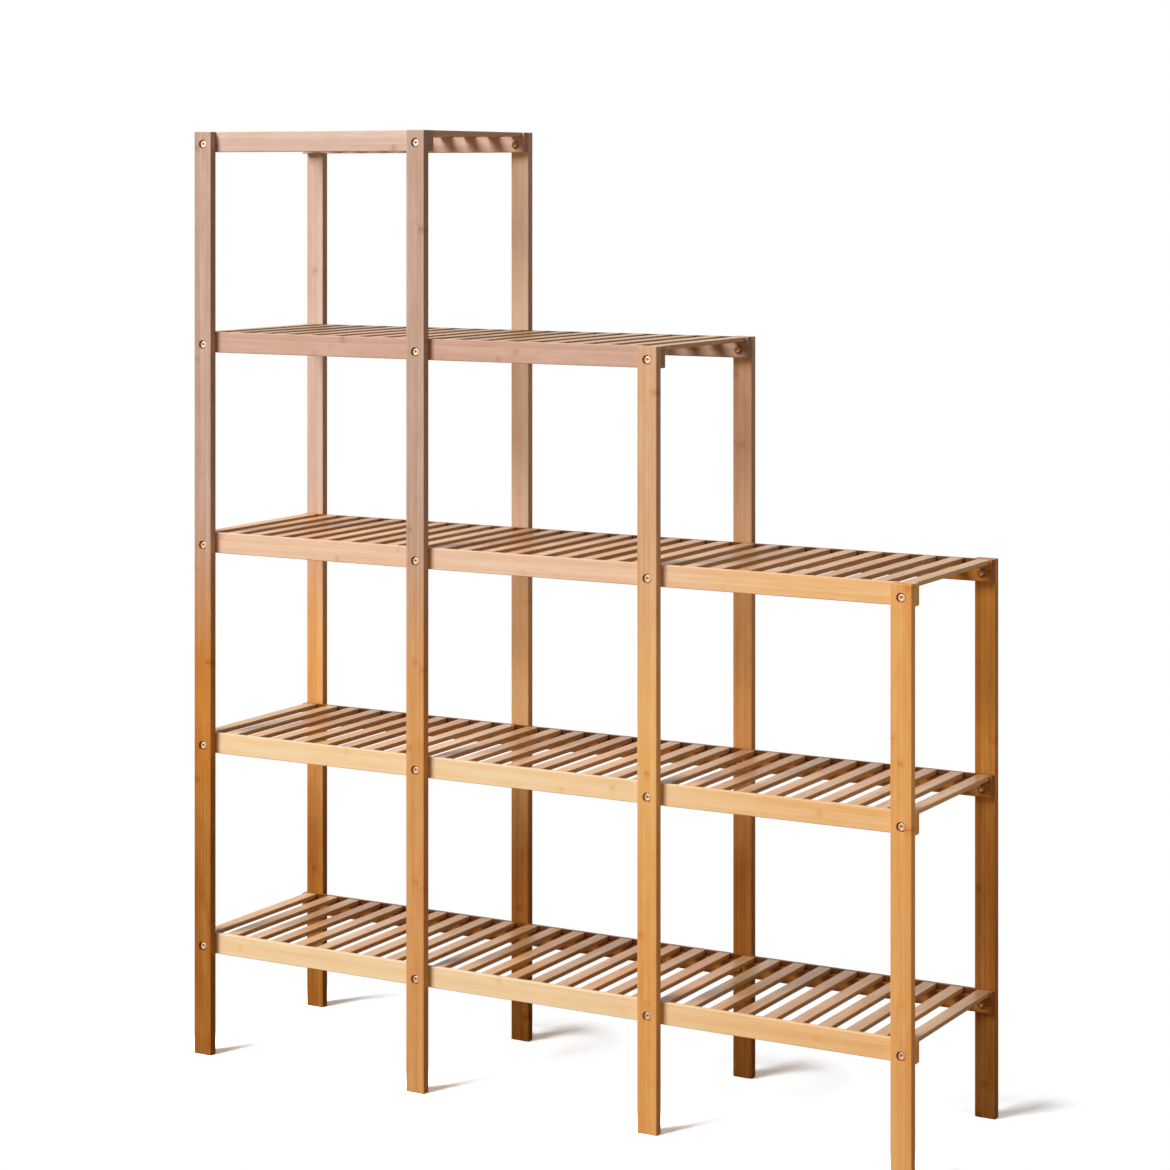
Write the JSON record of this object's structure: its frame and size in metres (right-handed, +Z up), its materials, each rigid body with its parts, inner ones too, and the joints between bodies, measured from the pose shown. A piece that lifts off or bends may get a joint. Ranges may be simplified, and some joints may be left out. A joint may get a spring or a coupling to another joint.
{
  "type": "tiered plant stand",
  "caption": "Stepped bamboo plant stand: flat posts bolted in front of and behind rebated rails that carry open slatted shelves, stepping down from a tall end to a low end.",
  "frame": {"origin": "on the floor, under the middle of the footprint", "axes": "+Z up; +X along the stand, from its tall end to its low end; the front faces -Y"},
  "size_m": [1.069, 0.283, 1.27],
  "materials": {
    "bamboo_post": "satin lacquered laminated bamboo",
    "bamboo_rail": "satin lacquered laminated bamboo",
    "bamboo_shelf": "satin lacquered laminated bamboo",
    "brass": "pale brass plated steel, satin"
  },
  "bodies": {
    "root": {"post_front_1": "bamboo_post", "post_front_2": "bamboo_post", "post_front_3": "bamboo_post", "post_front_4": "bamboo_post", "post_back_1": "bamboo_post", "post_back_2": "bamboo_post", "post_back_3": "bamboo_post", "post_back_4": "bamboo_post", "rail_front_1": "bamboo_rail", "rail_front_2": "bamboo_rail", "rail_front_3": "bamboo_rail", "rail_front_4": "bamboo_rail", "rail_front_5": "bamboo_rail", "shelf_1": "bamboo_shelf", "shelf_2": "bamboo_shelf", "shelf_3": "bamboo_shelf", "shelf_4": "bamboo_shelf", "shelf_5": "bamboo_shelf", "bolt_front_t1_c1": "brass", "bolt_front_t1_c2": "brass", "bolt_front_t1_c3": "brass", "bolt_front_t1_c4": "brass", "bolt_front_t2_c1": "brass", "bolt_front_t2_c2": "brass", "bolt_front_t2_c3": "brass", "bolt_front_t2_c4": "brass", "bolt_front_t3_c1": "brass", "bolt_front_t3_c2": "brass", "bolt_front_t3_c3": "brass", "bolt_front_t3_c4": "brass", "bolt_front_t4_c1": "brass", "bolt_front_t4_c2": "brass", "bolt_front_t4_c3": "brass", "bolt_front_t5_c1": "brass", "bolt_front_t5_c2": "brass", "bolt_back_t1_c1": "brass", "bolt_back_t1_c2": "brass", "bolt_back_t1_c3": "brass", "bolt_back_t1_c4": "brass", "bolt_back_t2_c1": "brass", "bolt_back_t2_c2": "brass", "bolt_back_t2_c3": "brass", "bolt_back_t2_c4": "brass", "bolt_back_t3_c1": "brass", "bolt_back_t3_c2": "brass", "bolt_back_t3_c3": "brass", "bolt_back_t3_c4": "brass", "bolt_back_t4_c1": "brass", "bolt_back_t4_c2": "brass", "bolt_back_t4_c3": "brass", "bolt_back_t5_c1": "brass", "bolt_back_t5_c2": "brass"}
  },
  "joints": []
}
